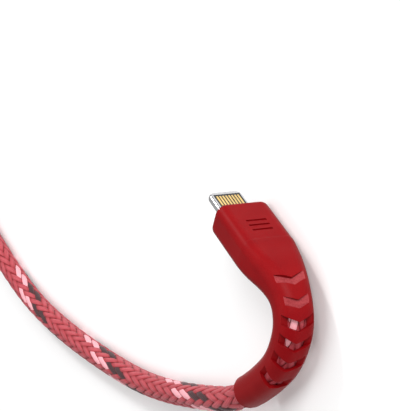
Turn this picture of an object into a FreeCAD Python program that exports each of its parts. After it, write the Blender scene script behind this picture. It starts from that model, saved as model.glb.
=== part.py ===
"""Braided charging cable, modelled lying on a table.

The phone plug lies on its narrow side and its moulded relief is bent round through about 125
degrees. The cord runs on across the table to a tied coil, and ends in a flat host plug.

Frame: +X is the way the cord leaves the phone plug, +Y is the outward side of its wide face,
+Z is up. The origin is on the table, in the middle of the narrow flat side the plug rests on.
All sizes are millimetres and degrees.
"""

import FreeCAD, Part

import math
import os
import re

import Sketcher
from FreeCAD import Placement, Rotation, Vector

SIZES = [
    # cord
    ("cord_diameter", 4.8),
    ("jacket_diameter", 3.4),
    ("power_wire_diameter", 0.9),
    ("data_wire_diameter", 0.6),
    ("small_gap", 0.05),
    # phone plug: tab
    ("tab_length", 6.65),
    ("tab_width", 6.7),
    ("tab_thickness", 1.5),
    ("tab_root", 3.0),
    ("tab_nose", 1.4),
    ("tab_edge_share", 0.45),
    ("shoulder_width", 7.2),
    ("shoulder_thickness", 3.0),
    ("shoulder_length", 1.2),
    ("window_width", 5.3),
    ("window_length", 3.6),
    ("window_from_tip", 1.1),
    ("pad_count", 8),
    ("pad_pitch", 0.6),
    ("pad_width", 0.36),
    ("pad_length", 2.7),
    ("pad_thickness", 0.15),
    # phone plug: inside
    ("board_length", 5.6),
    ("board_width", 6.2),
    ("board_thickness", 0.7),
    ("chip_length", 2.6),
    ("chip_width", 2.6),
    ("chip_thickness", 0.75),
    ("can_length", 6.6),
    ("can_width", 7.4),
    ("can_thickness", 3.7),
    ("can_wall", 0.2),
    ("mould_width", 8.4),
    ("mould_thickness", 4.7),
    ("mould_length", 9.6),
    ("neck_width", 5.4),
    ("neck_length", 4.0),
    ("wire_space", 2.6),
    ("front_wall", 0.8),
    ("chip_setback", 0.8),
    ("capacitor_setback", 0.9),
    ("can_front_gap", 0.15),
    ("wire_overlap", 1.4),
    ("wire_straight", 1.5),
    ("wire_gather", 0.9),
    ("mould_wall", 0.7),
    ("neck_wall", 0.4),
    ("ferrule_setback", 0.4),
    ("capacitor_length", 1.0),
    ("capacitor_thickness", 0.5),
    ("ferrule_length", 2.6),
    ("ferrule_wall", 0.25),
    ("jacket_strip", 4.2),
    # phone plug: boot
    ("housing_length", 10.5),
    ("housing_width", 10.4),
    ("housing_thickness", 6.5),
    ("housing_corner", 2.0),
    ("front_edge", 1.0),
    ("relief_end_width", 6.1),
    ("relief_end_thickness", 6.0),
    ("relief_start_width", 6.9),
    ("taper_length", 13.0),
    ("boot_straight", 15.3),
    ("bend_1_radius", 15.0),
    ("bend_1_angle", 16.0),
    ("bend_2_radius", 7.4),
    ("bend_2_angle", 66.0),
    ("bend_3_radius", 16.5),
    ("bend_3_angle", 32.0),
    ("bend_4_radius", 60.0),
    ("bend_4_angle", 11.0),
    ("chevron_half_width", 2.85),
    ("chevron_depth", 1.2),
    ("pocket_depth", 0.6),
    ("window_bite", 0.6),
    ("cut_clear", 1.5),
    ("grip_count", 3),
    ("grip_pitch", 1.3),
    ("grip_length", 4.0),
    ("grip_width", 0.45),
    ("grip_depth", 0.25),
    ("grip_place", 6.9),
    # free cord, coil and tie
    ("mouth_run", 6.0),
    ("coil_run", 9.0),
    ("tail_run", 4.7),
    ("coil_x", -172.0),
    ("coil_y", -54.0),
    ("coil_outer_turn", 32.0),
    ("coil_inner_turn", 19.1),
    ("coil_slack", 0.2),
    ("coil_corner", 1.6),
    ("stub_clear", 1.0),
    ("tie_width", 10.0),
    ("tie_thickness", 1.0),
    ("tie_gap", 0.4),
    ("tie_corner", 1.6),
    # host plug
    ("host_heading", 82.5),
    ("shell_length", 18.6),
    ("shell_width", 12.0),
    ("shell_thickness", 4.5),
    ("shell_wall", 0.32),
    ("shell_corner", 0.6),
    ("shell_out", 13.6),
    ("latch_hole", 2.1),
    ("latch_from_tip", 5.2),
    ("latch_spacing", 5.2),
    ("tongue_length", 15.5),
    ("tongue_width", 11.1),
    ("tongue_thickness", 1.84),
    ("tongue_recess", 0.6),
    ("strip_length", 7.4),
    ("strip_width", 1.0),
    ("strip_thickness", 0.2),
    ("strip_setback", 0.8),
    ("tongue_block", 7.0),
    ("resistor_length", 1.6),
    ("resistor_thickness", 0.5),
    ("host_board_length", 6.0),
    ("host_board_width", 10.6),
    ("host_board_thickness", 0.8),
    ("resistor_place", 2.6),
    ("host_wire_overlap", 1.8),
    ("host_wire_turn", 0.4),
    ("host_wire_spread", 0.75),
    ("host_board_room", 0.9),
    ("host_mould_length", 15.8),
    ("host_mould_width", 13.4),
    ("host_mould_thickness", 5.9),
    ("host_boot_length", 19.0),
    ("host_boot_width", 15.6),
    ("host_boot_thickness", 8.0),
    ("host_boot_corner", 2.4),
    ("host_relief_length", 14.0),
    ("host_relief_width", 7.2),
    ("host_relief_thickness", 6.6),
    ("host_relief_end", 6.0),
    ("host_chevrons", 3),
    ("host_chevron_pitch", 3.4),
    ("host_chevron_thickness", 1.3),
    ("host_chevron_start", 2.0),
    ("host_chevron_drop", 0.42),
]

# Each chevron: its centre, measured along the bend from the plug's seat, its thickness, and
# how far it leans round the relief towards the upper side, in degrees.
CHEVRONS = [
    (19.7, 1.5, 6.0),
    (22.6, 1.5, 8.0),
    (25.3, 1.7, 11.0),
    (28.1, 1.8, 16.0),
    (31.8, 2.2, 24.0),
    (36.6, 2.5, 36.0),
]
POCKETS = 2

# Corners of the free cord between the bent relief and the coil, after the first two, which
# follow from the relief.
RUN_POINTS = [
    (3.5, -35.3, 4.9),
    (-5.3, -42.7, 4.2),
    (-16.6, -51.7, 3.1),
    (-29.6, -60.4, 2.4),
    (-46.0, -68.5, 2.4),
    (-64.0, -76.4, 2.4),
    (-83.0, -82.9, 2.4),
    (-102.0, -85.6, 2.4),
    (-118.0, -86.5, 2.6),
    (-132.0, -86.3, 5.5),
]

# Places across the boards: capacitors, resistors and the host plug's contact strips.
CAPACITOR_SIDES = (-2.0, -0.7, 0.7, 2.0)
RESISTOR_SIDES = (-2.2, 2.2)
STRIP_SIDES = (-3.5, -1.0, 1.0, 3.5)

# Each wire: its diameter, which face of the board it is soldered to, its place across the
# board in the phone plug and in the host plug, and its place across the jacket.
WIRES = [
    ("power_wire", "power_wire_diameter", 1, 1.8, 2.6, 0.62),
    ("ground_wire", "power_wire_diameter", 1, -1.8, -2.6, -0.62),
    ("data_wire_plus", "data_wire_diameter", -1, 1.2, 1.6, 0.5),
    ("data_wire_minus", "data_wire_diameter", -1, -1.2, -1.6, -0.5),
]

# Share of the host relief's length in which its width drops; the rest narrows evenly.
HOST_TAPER = 0.55
# Corner radius of a relief's end, as a share of its smaller side.
ROUND_SHARE = 0.46
# Share of the shorter neighbouring run that a route's arc takes up.
ARC_SHARE = 0.45
# Sections in the two lofted reliefs.
RELIEF_SECTIONS = 20
HOST_SECTIONS = 8

document = FreeCAD.newDocument("charging_cable")
sheet = document.addObject("Spreadsheet::Sheet", "Sizes")
parts = {}


def fill_sheet():
    """Writes every driving size to the sheet, each with its alias."""
    for row, (alias, value) in enumerate(SIZES, start=1):
        sheet.set(f"A{row}", alias)
        sheet.set(f"B{row}", str(value))
        sheet.setAlias(f"B{row}", alias)
    document.recompute()


def size(alias):
    """The value in the sheet's cell of that name."""
    return float(sheet.get(alias))


def bind(thing, **expressions):
    """Ties properties of a document object to formulas in the sheet's own words."""
    words = {alias for alias, _ in SIZES}
    for name, expression in expressions.items():
        tied = re.sub(
            r"[a-z_0-9]+",
            lambda found: "Sizes." + found[0] if found[0] in words else found[0],
            expression,
        )
        thing.setExpression(name.replace("__", "."), tied)


def keep(thing, label):
    """Names a finished sub-part and lists it for export."""
    thing.Label = label
    parts[label] = thing
    return thing


# --- shared places ------------------------------------------------------------------------


def seat_x():
    """Where the boot's front face stands: the flat side's middle is the origin."""
    return -(size("front_edge") + size("housing_length")) / 2


def plug_axis_z():
    """Height of the phone plug's axis over the table."""
    return size("housing_width") / 2


def plug_place(along=0.0, out=0.0, up=0.0):
    """A placement in the phone plug: along its axis from the seat, outwards and upwards."""
    return Placement(Vector(seat_x() + along, out, plug_axis_z() + up), Rotation())


class Bend:
    """The bent centre line of the phone plug's boot, by length from the seat."""

    def __init__(self):
        self.spans = []
        point = Vector(seat_x(), 0, plug_axis_z())
        self.spans.append((0.0, size("boot_straight"), 0.0, point, 0.0))
        point = point + Vector(size("boot_straight"), 0, 0)
        start = size("boot_straight")
        heading = 0.0
        for number in (1, 2, 3, 4):
            radius = size(f"bend_{number}_radius")
            angle = math.radians(size(f"bend_{number}_angle"))
            self.spans.append((start, radius * angle, radius, point, heading))
            point = self._turned(point, heading, radius, angle)
            start += radius * angle
            heading += angle
        self.length = start

    @staticmethod
    def _turned(point, heading, radius, angle):
        centre = point + Vector(-math.sin(heading), -math.cos(heading), 0) * radius
        return centre + Vector(math.sin(heading + angle), math.cos(heading + angle), 0) * radius

    def at(self, along):
        """Point and heading at a length along the centre line."""
        start, length, radius, point, heading = self.spans[0]
        for span in self.spans:
            if along >= span[0] - 1e-9:
                start, length, radius, point, heading = span
        if radius == 0:
            return point + Vector(along - start, 0, 0), 0.0
        angle = (along - start) / radius
        return self._turned(point, heading, radius, angle), heading + angle

    def frame(self, along, lean=0.0):
        """Point, tangent, outward and upward directions; lean turns outward towards up."""
        point, heading = self.at(along)
        tangent = Vector(math.cos(heading), -math.sin(heading), 0)
        outward = Vector(math.sin(heading), math.cos(heading), 0)
        up = Vector(0, 0, 1)
        turn = math.radians(lean)
        leaned = outward * math.cos(turn) + up * math.sin(turn)
        raised = up * math.cos(turn) - outward * math.sin(turn)
        return point, tangent, leaned, raised

    def wire(self, first, last):
        """The centre line between two lengths, as tangent lines and arcs."""
        edges = []
        for start, length, radius, _, _ in self.spans:
            low = max(start, first)
            high = min(start + length, last)
            if high - low < 1e-6:
                continue
            begin = self.at(low)[0] if low > start else self.at(start + 1e-9)[0]
            end = self.at(high - 1e-9)[0]
            if radius == 0:
                edges.append(Part.LineSegment(begin, end).toShape())
            else:
                edges.append(Part.Arc(begin, self.at((low + high) / 2)[0], end).toShape())
        return Part.Wire(edges)


# --- tubes along routes -------------------------------------------------------------------


def round_tube(path, radius):
    """A solid round tube along a wire."""
    start = path.Vertexes[0].Point
    direction = path.Edges[0].tangentAt(path.Edges[0].FirstParameter)
    ring = Part.Wire([Part.Circle(start, direction, radius).toShape()])
    return path.makePipeShell([ring], True, False)


def route_wire(points, name=""):
    """Straight runs joined by tangent arcs, each as large as its two runs allow."""
    edges = []
    radii = []
    here = points[0]
    for before, corner, after in zip(points, points[1:], points[2:]):
        run_in = corner - before
        run_out = after - corner
        reach = ARC_SHARE * min(run_in.Length, run_out.Length)
        way_in = Vector(run_in).normalize()
        way_out = Vector(run_out).normalize()
        half = way_in.getAngle(way_out) / 2
        radius = reach / math.tan(half)
        begin = corner - way_in * reach
        end = corner + way_out * reach
        inward = (way_out - way_in).normalize()
        middle = corner + inward * (radius / math.cos(half) - radius)
        edges.append(Part.LineSegment(here, begin).toShape())
        edges.append(Part.Arc(begin, middle, end).toShape())
        radii.append(radius)
        here = end
    edges.append(Part.LineSegment(here, points[-1]).toShape())
    if name:
        print(name, "arc radii", [round(radius, 1) for radius in radii])
    return Part.Wire(edges)


def check_tube(name, solid, path, radius):
    """Compares a tube's volume with its section times its length."""
    ratio = solid.Volume / (math.pi * radius**2 * path.Length)
    print(name, "length", round(path.Length, 1), "volume ratio", round(ratio, 4))
    if abs(ratio - 1) > 0.01:
        raise ValueError(f"{name} tube volume is off")


def feature(label, shape, place=None):
    """A sub-part whose shape is made here."""
    thing = document.addObject("Part::Feature", label)
    thing.Shape = shape
    if place is not None:
        thing.Placement = place
    return keep(thing, label)


# --- bodies and primitives ----------------------------------------------------------------


def origin_plane(body, role):
    """One of a body's own origin planes."""
    for item in body.Origin.OriginFeatures:
        if item.Role == role:
            return item
    raise ValueError(role)


def rectangle(body, name, role, wide, high, across="0", upward="0", offset="0"):
    """A sketched rectangle, wide by high, centred at (across, upward) on an origin plane."""
    sketch = body.newObject("Sketcher::SketchObject", name)
    sketch.AttachmentSupport = [(origin_plane(body, role), "")]
    sketch.MapMode = "FlatFace"
    corners = [Vector(-1, -1, 0), Vector(1, -1, 0), Vector(1, 1, 0), Vector(-1, 1, 0)]
    for start, end in zip(corners, corners[1:] + corners[:1]):
        sketch.addGeometry(Part.LineSegment(start, end), False)
    for edge in range(4):
        sketch.addConstraint(Sketcher.Constraint("Coincident", edge, 2, (edge + 1) % 4, 1))
    for edge, way in ((0, "Horizontal"), (2, "Horizontal"), (1, "Vertical"), (3, "Vertical")):
        sketch.addConstraint(Sketcher.Constraint(way, edge))
    sketch.addConstraint(Sketcher.Constraint("Symmetric", 0, 1, 1, 2, -1, 1))
    number = sketch.addConstraint(Sketcher.Constraint("DistanceX", 0, 1, 0, 2, 2.0))
    sketch.renameConstraint(number, "wide")
    number = sketch.addConstraint(Sketcher.Constraint("DistanceY", 1, 1, 1, 2, 2.0))
    sketch.renameConstraint(number, "high")
    bind(sketch, Constraints__wide=wide, Constraints__high=high)
    bind(sketch, AttachmentOffset__Base__x=across, AttachmentOffset__Base__y=upward)
    bind(sketch, AttachmentOffset__Base__z=offset)
    return sketch


def pad(body, sketch, length):
    """Extrudes a sketch along its normal."""
    grown = body.newObject("PartDesign::Pad", sketch.Name + "_pad")
    grown.Profile = sketch
    bind(grown, Length=length)
    document.recompute()
    return grown


def pocket(body, sketch, length, both_ways=False):
    """Cuts a sketch along its normal, or both ways, and confirms that it took something."""
    before = body.Shape.Volume
    cut = body.newObject("PartDesign::Pocket", sketch.Name + "_pocket")
    cut.Profile = sketch
    cut.Reversed = True
    cut.Midplane = both_ways
    bind(cut, Length=length)
    document.recompute()
    if body.Shape.Volume > before - 1e-6:
        raise ValueError(f"{cut.Name} cuts nothing")
    return cut


def fillet(body, chosen, radius):
    """Rounds the body's edges that pass a test."""
    base = body.Tip
    edges = enumerate(base.Shape.Edges, start=1)
    names = [f"Edge{number}" for number, edge in edges if chosen(edge)]
    rounded = body.newObject("PartDesign::Fillet", base.Name + "_round")
    rounded.Base = (base, names)
    bind(rounded, Radius=radius)
    document.recompute()
    return rounded


def along_x(edge):
    """True for a straight edge along the body's X."""
    if len(edge.Vertexes) != 2 or edge.Curve.TypeId != "Part::GeomLine":
        return False
    run = edge.Vertexes[1].Point - edge.Vertexes[0].Point
    return abs(run.y) < 1e-6 and abs(run.z) < 1e-6


def at_nose(edge):
    """True for an edge through the tab's thickness at its tip."""
    place = edge.BoundBox
    at_tip = place.XMax < 1e-3 - size("tab_length")
    return at_tip and place.YLength > 1e-3 and place.ZLength < 1e-3


def box(name, length, wide, high, place):
    """A box tied to the sheet; place is its middle in Y and Z and its low end in X."""
    block = document.addObject("Part::Box", name)
    bind(block, Length=length, Width=wide, Height=high)
    document.recompute()
    corner = Vector(0, -block.Width.Value / 2, -block.Height.Value / 2)
    block.Placement = place.multiply(Placement(corner, Rotation()))
    return block


def rod(name, radius, length, place):
    """A cylinder tied to the sheet, along the X of its place."""
    cylinder = document.addObject("Part::Cylinder", name)
    bind(cylinder, Radius=radius, Height=length)
    cylinder.Placement = place.multiply(Placement(Vector(), Rotation(Vector(0, 1, 0), 90)))
    return cylinder


def cut(name, base, *tools):
    """A base with tools taken out of it."""
    for number, tool in enumerate(tools, start=1):
        carved = document.addObject("Part::Cut", f"{name}_cut_{number}")
        carved.Base = base
        carved.Tool = tool
        base = carved
    return base


def group(label, things):
    """Several separate solids as one sub-part."""
    compound = document.addObject("Part::Compound", label + "_group")
    compound.Links = things
    return keep(compound, label)


def lead(label, diameter, corners, place):
    """One soldered wire, as a tube through a few corners."""
    path = route_wire([place.multVec(Vector(*corner)) for corner in corners])
    return feature(label, round_tube(path, size(diameter) / 2))


# --- phone plug: tab and electronics ------------------------------------------------------


def make_tab():
    """Metal tab frame, its insulator and the gold pads on both faces."""
    frame = document.addObject("PartDesign::Body", "TabFrame")
    section = rectangle(
        frame, "tab_section", "YZ_Plane", "tab_thickness", "tab_width", offset="-tab_length"
    )
    pad(frame, section, "tab_length + tab_root")
    fillet(frame, at_nose, "tab_nose")
    fillet(frame, along_x, "tab_thickness * tab_edge_share")
    flange = rectangle(
        frame,
        "shoulder",
        "YZ_Plane",
        "shoulder_thickness",
        "shoulder_width",
        offset="front_wall + small_gap",
    )
    pad(frame, flange, "shoulder_length")
    middle = "-tab_length + window_from_tip + window_length / 2"
    window = rectangle(
        frame, "tab_window", "XZ_Plane", "window_length", "window_width", across=middle
    )
    pocket(frame, window, "tab_thickness * 2", both_ways=True)
    frame.Placement = plug_place()
    keep(frame, "tab_frame")

    start = -size("tab_length") + size("window_from_tip") + size("small_gap")
    block = box(
        "InsulatorBlock",
        "window_length - 2 * small_gap",
        "tab_thickness - 2 * small_gap",
        "window_width - 2 * small_gap",
        plug_place(start),
    )
    middle_pad = (size("pad_count") - 1) / 2
    along = start + (size("window_length") - size("pad_length")) / 2 - size("small_gap")
    grooves = []
    for face, sign in (("outer", 1), ("inner", -1)):
        out = sign * (size("tab_thickness") - size("pad_thickness")) / 2
        pads = []
        for number in range(int(size("pad_count"))):
            up = (number - middle_pad) * size("pad_pitch")
            name = f"{face}_{number}"
            place = plug_place(along, out, up)
            pads.append(box("Pad_" + name, "pad_length", "pad_thickness", "pad_width", place))
            clear = plug_place(along - size("small_gap"), out, up)
            grooves.append(
                box(
                    "Groove_" + name,
                    "pad_length + 2 * small_gap",
                    "pad_thickness + 2 * small_gap",
                    "pad_width + 2 * small_gap",
                    clear,
                )
            )
        group(f"contact_pads_{face}", pads)
    all_grooves = document.addObject("Part::Compound", "PadGrooves")
    all_grooves.Links = grooves
    keep(cut("insulator", block, all_grooves), "tab_insulator")


def board_start():
    """Where the circuit board begins, behind the tab's root."""
    return size("tab_root") + 2 * size("small_gap")


def make_board():
    """Circuit board, its chip, its small parts and the two shield cans."""
    start = board_start()
    board = box("Board", "board_length", "board_thickness", "board_width", plug_place(start))
    keep(board, "plug_board")
    out = (size("board_thickness") + size("chip_thickness")) / 2 + size("small_gap")
    chip_place = plug_place(start + size("chip_setback"), out)
    chip = box("Chip", "chip_length", "chip_thickness", "chip_width", chip_place)
    keep(chip, "authentication_chip")
    out = -(size("board_thickness") + size("capacitor_thickness")) / 2 - size("small_gap")
    capacitors = []
    thick = "capacitor_thickness"
    for number, up in enumerate(CAPACITOR_SIDES):
        place = plug_place(start + size("capacitor_setback"), out, up)
        capacitors.append(box(f"Capacitor_{number}", "capacitor_length", thick, thick, place))
    group("board_capacitors", capacitors)
    can_start = size("front_wall") + size("shoulder_length") + size("can_front_gap")
    for label, sign in (("shield_can_outer", 1), ("shield_can_inner", -1)):
        out = sign * (size("can_thickness") / 4 + size("small_gap"))
        place = plug_place(can_start, out)
        whole = box(label + "_block", "can_length", "can_thickness / 2", "can_width", place)
        inside = out - sign * size("can_wall")
        hollow = box(
            label + "_hollow",
            "can_length + 2 * cut_clear",
            "can_thickness / 2",
            "can_width - 2 * can_wall",
            plug_place(can_start - size("cut_clear"), inside),
        )
        keep(cut(label, whole, hollow), label)


def make_inner_mould():
    """Hard inner mould round the cans, the ferrule and the four wires."""
    front = size("front_wall") + size("small_gap")
    overlap = size("shoulder_length")
    place = plug_place(front)
    block = box("MouldBlock", "mould_length", "mould_thickness", "mould_width", place)
    place = plug_place(front + size("mould_length") - overlap)
    long_neck = "neck_length + shoulder_length"
    neck = box("MouldNeck", long_neck, "mould_thickness", "neck_width", place)
    whole = document.addObject("Part::Fuse", "MouldWhole")
    whole.Base = block
    whole.Tool = neck
    gap = "+ 4 * small_gap"
    cans = box(
        "CanSpace",
        "shoulder_length + can_length + 6 * small_gap",
        "can_thickness" + gap,
        "can_width" + gap,
        plug_place(front - size("small_gap")),
    )
    wires = box(
        "WireSpace",
        "wire_space",
        "mould_thickness - 2 * mould_wall",
        "neck_width - 2 * neck_wall",
        plug_place(front + size("shoulder_length") + size("can_length")),
    )
    jacket = jacket_start()
    wall = "jacket_diameter / 2 + ferrule_wall"
    place = plug_place(jacket - size("ferrule_setback"))
    bore = rod("FerruleBore", wall + " + 3 * small_gap", "neck_length + mould_length", place)
    keep(cut("inner_mould", whole, cans, wires, bore), "inner_mould")
    place = plug_place(jacket + size("ferrule_setback"))
    keep(ferrule("Ferrule", place), "crimp_ferrule")
    end = rod("JacketEnd", "jacket_diameter / 2", "jacket_strip", plug_place(jacket))
    keep(end, "inner_jacket_end")


def ferrule(name, place):
    """A crimped ring round the stripped jacket."""
    wall = "jacket_diameter / 2 + ferrule_wall + small_gap"
    ring = rod(name + "Ring", wall, "ferrule_length", place)
    before = place.multiply(Placement(Vector(-size("cut_clear"), 0, 0), Rotation()))
    through = "ferrule_length + 2 * cut_clear"
    hole = rod(name + "Hole", "jacket_diameter / 2 + small_gap", through, before)
    return cut(name, ring, hole)


def jacket_start():
    """Where the stripped jacket ends inside the plug."""
    return braid_start() - size("jacket_strip")


def braid_start():
    """Where the full braided cord begins, behind the inner mould."""
    return size("front_wall") + size("mould_length") + size("neck_length") + 4 * size("small_gap")


def make_wires():
    """Four wires from the board to the stripped jacket."""
    on_board = board_start() + size("board_length") - size("wire_overlap")
    jacket = jacket_start()
    for label, diameter, face, wide, _, narrow in WIRES:
        out = face * soldered_height("board_thickness", diameter)
        corners = [
            (on_board, out, wide),
            (on_board + size("wire_straight"), out, wide),
            (jacket - size("wire_gather"), out, narrow),
            (jacket - size("small_gap"), out, narrow),
        ]
        lead(label, diameter, corners, plug_place())


def soldered_height(board, diameter):
    """How far a wire's middle stands from the middle of the board it is soldered to."""
    return (size(board) + size(diameter)) / 2 + size("small_gap")


# --- phone plug: boot ---------------------------------------------------------------------


def smooth(share):
    """An S-shaped step from 0 to 1."""
    share = min(1.0, max(0.0, share))
    return share * share * (3 - 2 * share)


def rounded_outline(frame, across, through, corner):
    """A closed rounded rectangle round a frame: across runs up, through runs outward."""
    point, _, outward, up = frame
    high = across / 2 - corner
    wide = through / 2 - corner

    def spot(out, rise):
        return point + outward * out + up * rise

    edges = []
    bulge = corner * math.sqrt(0.5)
    for number in range(4):
        sign_out, sign_up = ((1, 1), (-1, 1), (-1, -1), (1, -1))[number]
        beside = spot(sign_out * (wide + corner), sign_up * high)
        above = spot(sign_out * wide, sign_up * (high + corner))
        middle = spot(sign_out * (wide + bulge), sign_up * (high + bulge))
        ends = (beside, above) if number % 2 == 0 else (above, beside)
        edges.append(Part.Arc(ends[0], middle, ends[1]).toShape())
        after_out, after_up = ((-1, 1), (-1, -1), (1, -1), (1, 1))[number]
        if number % 2 == 0:
            following = spot(after_out * wide, after_up * (high + corner))
        else:
            following = spot(after_out * (wide + corner), after_up * high)
        edges.append(Part.LineSegment(ends[1], following).toShape())
    return Part.Wire(edges)


def chevron(frame, half, depth, thick, low, high):
    """A V-shaped prism; its point leads along the tangent, and it reaches from low to high."""
    point, tangent, outward, up = frame
    corners = [
        (-depth / 2 - thick / 2, -half),
        (depth / 2 - thick / 2, 0),
        (-depth / 2 - thick / 2, half),
        (-depth / 2 + thick / 2, half),
        (depth / 2 + thick / 2, 0),
        (-depth / 2 + thick / 2, -half),
    ]
    ring = [point + outward * low + tangent * along + up * side for along, side in corners]
    face = Part.Face(Part.makePolygon(ring + ring[:1]))
    return face.extrude(outward * (high - low))


def make_boot(bend):
    """Soft boot: flat-sided housing, tapering into the bent relief with its chevrons."""
    width = size("housing_width")
    thickness = size("housing_thickness")
    corner = size("housing_corner")
    straight = size("housing_length")
    outline = rounded_outline(bend.frame(0.0), width, thickness, corner)
    housing = Part.Face(outline).extrude(Vector(straight, 0, 0))
    front = [edge for edge in housing.Edges if edge.BoundBox.XMax < seat_x() + 1e-6]
    housing = housing.makeFillet(size("front_edge"), front)

    reach = bend.length - straight
    outlines = []
    for step in range(RELIEF_SECTIONS + 1):
        share = step / RELIEF_SECTIONS
        along = straight + reach * share
        taper = smooth((along - straight) / size("taper_length"))
        tail = max(0.0, (along - straight - size("taper_length")) / (reach - size("taper_length")))
        across = width + (size("relief_start_width") - width) * taper
        across += (size("relief_end_width") - size("relief_start_width")) * tail
        through = thickness + (size("relief_end_thickness") - thickness) * share
        round_corner = corner + (ROUND_SHARE * min(across, through) - corner) * taper
        outlines.append(rounded_outline(bend.frame(along), across, through, round_corner))
    relief = Part.makeLoft(outlines, True, False)
    boot = housing.fuse(relief).removeSplitter()

    gap = size("small_gap")
    front_wall = size("front_wall")
    radius = size("cord_diameter") / 2
    seat = bend.frame(0.0)[0]
    hollows = [
        upright_box(
            seat,
            0,
            front_wall,
            size("tab_thickness") + 2 * gap,
            size("tab_width") + 2 * gap,
        ),
        upright_box(
            seat,
            front_wall,
            front_wall + size("mould_length") + 2 * gap,
            size("mould_thickness") + 2 * gap,
            size("mould_width") + 2 * gap,
        ),
        upright_box(
            seat,
            front_wall,
            braid_start() - gap,
            size("mould_thickness") + 2 * gap,
            size("neck_width") + 2 * gap,
        ),
        round_tube(bend.wire(braid_start() - front_wall, bend.length), radius + gap),
    ]
    for number, (along, thick, lean) in enumerate(CHEVRONS):
        outer = size("housing_thickness") / 2
        blind = number < POCKETS
        floor = outer - size("pocket_depth") if blind else radius - size("window_bite")
        hollows.append(
            chevron(
                bend.frame(along, lean),
                size("chevron_half_width"),
                size("chevron_depth"),
                thick,
                floor,
                outer + size("cut_clear"),
            )
        )
    boot = boot.cut(hollows)
    for number in range(int(size("grip_count"))):
        step = number - (size("grip_count") - 1) / 2
        boot = boot.cut(grip_line(seat, size("grip_place") + step * size("grip_pitch")))
    feature("plug_boot", largest_solid(boot))


def largest_solid(shape):
    """The biggest solid of a shape."""
    return max(shape.Solids, key=lambda solid: solid.Volume)


def upright_box(seat, first, last, through, across):
    """A box in the plug between two lengths from the seat."""
    corner = seat + Vector(first, -through / 2, -across / 2)
    return Part.makeBox(last - first, through, across, corner)


def grip_line(seat, along):
    """One engraved grip line across the plug's wide face."""
    wide = size("grip_width")
    outer = size("housing_thickness") / 2
    corner = seat + Vector(along - wide / 2, outer - size("grip_depth"), -size("grip_length") / 2)
    return Part.makeBox(wide, size("cut_clear"), size("grip_length"), corner)


def make_relief_cord(bend):
    """The braided cord inside the bent relief."""
    path = bend.wire(braid_start(), bend.length)
    tube = round_tube(path, size("cord_diameter") / 2)
    check_tube("relief_cord", tube, path, size("cord_diameter") / 2)
    feature("relief_cord", tube)


# --- free cord, coil and tie --------------------------------------------------------------


def coil_low():
    """Height of the lower layer's centre line: the coil stands on the tie's strap."""
    return size("tie_thickness") + size("tie_gap") + size("coil_slack") + size("cord_diameter") / 2


def coil_high():
    """Height of the upper layer's centre line."""
    return coil_low() + size("cord_diameter")


def stub_reach():
    """How far a straight stub runs from the coil's outer turn before it is clear of it."""
    radius = size("cord_diameter") / 2
    outer = size("coil_outer_turn") + radius + size("coil_slack")
    inner_side = size("coil_outer_turn") - radius
    return math.sqrt(outer**2 - inner_side**2) + size("stub_clear")


def make_run(bend):
    """The free cord from the relief's mouth to the coil's upper layer."""
    mouth, tangent, _, _ = bend.frame(bend.length)
    points = [mouth, mouth + tangent * size("mouth_run")]
    points += [Vector(*point) for point in RUN_POINTS]
    lowest = size("coil_y") - size("coil_outer_turn")
    end = Vector(size("coil_x") + stub_reach(), lowest, coil_high())
    points += [end + Vector(size("coil_run"), 0, 0), end]
    path = route_wire(points, "cord_run")
    tube = round_tube(path, size("cord_diameter") / 2)
    check_tube("cord_run", tube, path, size("cord_diameter") / 2)
    feature("cord_run", tube)


def make_coil():
    """One closed ring for all the turns, with a stub where the cord joins and leaves it."""
    radius = size("cord_diameter") / 2
    slack = size("coil_slack")
    outer = size("coil_outer_turn") + radius + slack
    inner = size("coil_inner_turn") - radius - slack
    bottom = coil_low() - radius - slack
    height = coil_high() + radius + slack - bottom
    centre = Vector(size("coil_x"), size("coil_y"), bottom)
    ring = Part.makeCylinder(outer, height, centre).cut(Part.makeCylinder(inner, height, centre))
    rims = [edge for edge in ring.Edges if len(edge.Vertexes) == 1]
    ring = ring.makeFillet(size("coil_corner"), rims)
    joins = Vector(size("coil_x"), size("coil_y") - size("coil_outer_turn"), coil_high())
    leaves = Vector(size("coil_x") - size("coil_outer_turn"), size("coil_y"), coil_low())
    reach = stub_reach()
    stub_in = Part.makeCylinder(radius, reach, joins, Vector(1, 0, 0))
    stub_out = Part.makeCylinder(radius, reach, leaves, Vector(0, 1, 0))
    feature("cord_coil", ring.fuse([stub_in, stub_out]))


def host_axis():
    """Direction the host plug points in."""
    heading = math.radians(size("host_heading"))
    return Vector(math.cos(heading), math.sin(heading), 0)


def tail_corners():
    """Corners of the tail, from the coil's stub to the mouth of the host plug's relief."""
    begin = Vector(
        size("coil_x") - size("coil_outer_turn"), size("coil_y") + stub_reach(), coil_low()
    )
    rise = Vector(0, 0, (size("host_boot_thickness") / 2 - coil_low()) / 2)
    corner = begin + Vector(0, size("tail_run"), 0) + rise
    return [begin, corner, corner + host_axis() * size("tail_run") + rise]


def make_tail():
    """The short free cord from the coil's lower layer to the host plug."""
    path = route_wire(tail_corners(), "cord_tail")
    tube = round_tube(path, size("cord_diameter") / 2)
    check_tube("cord_tail", tube, path, size("cord_diameter") / 2)
    feature("cord_tail", tube)


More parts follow.
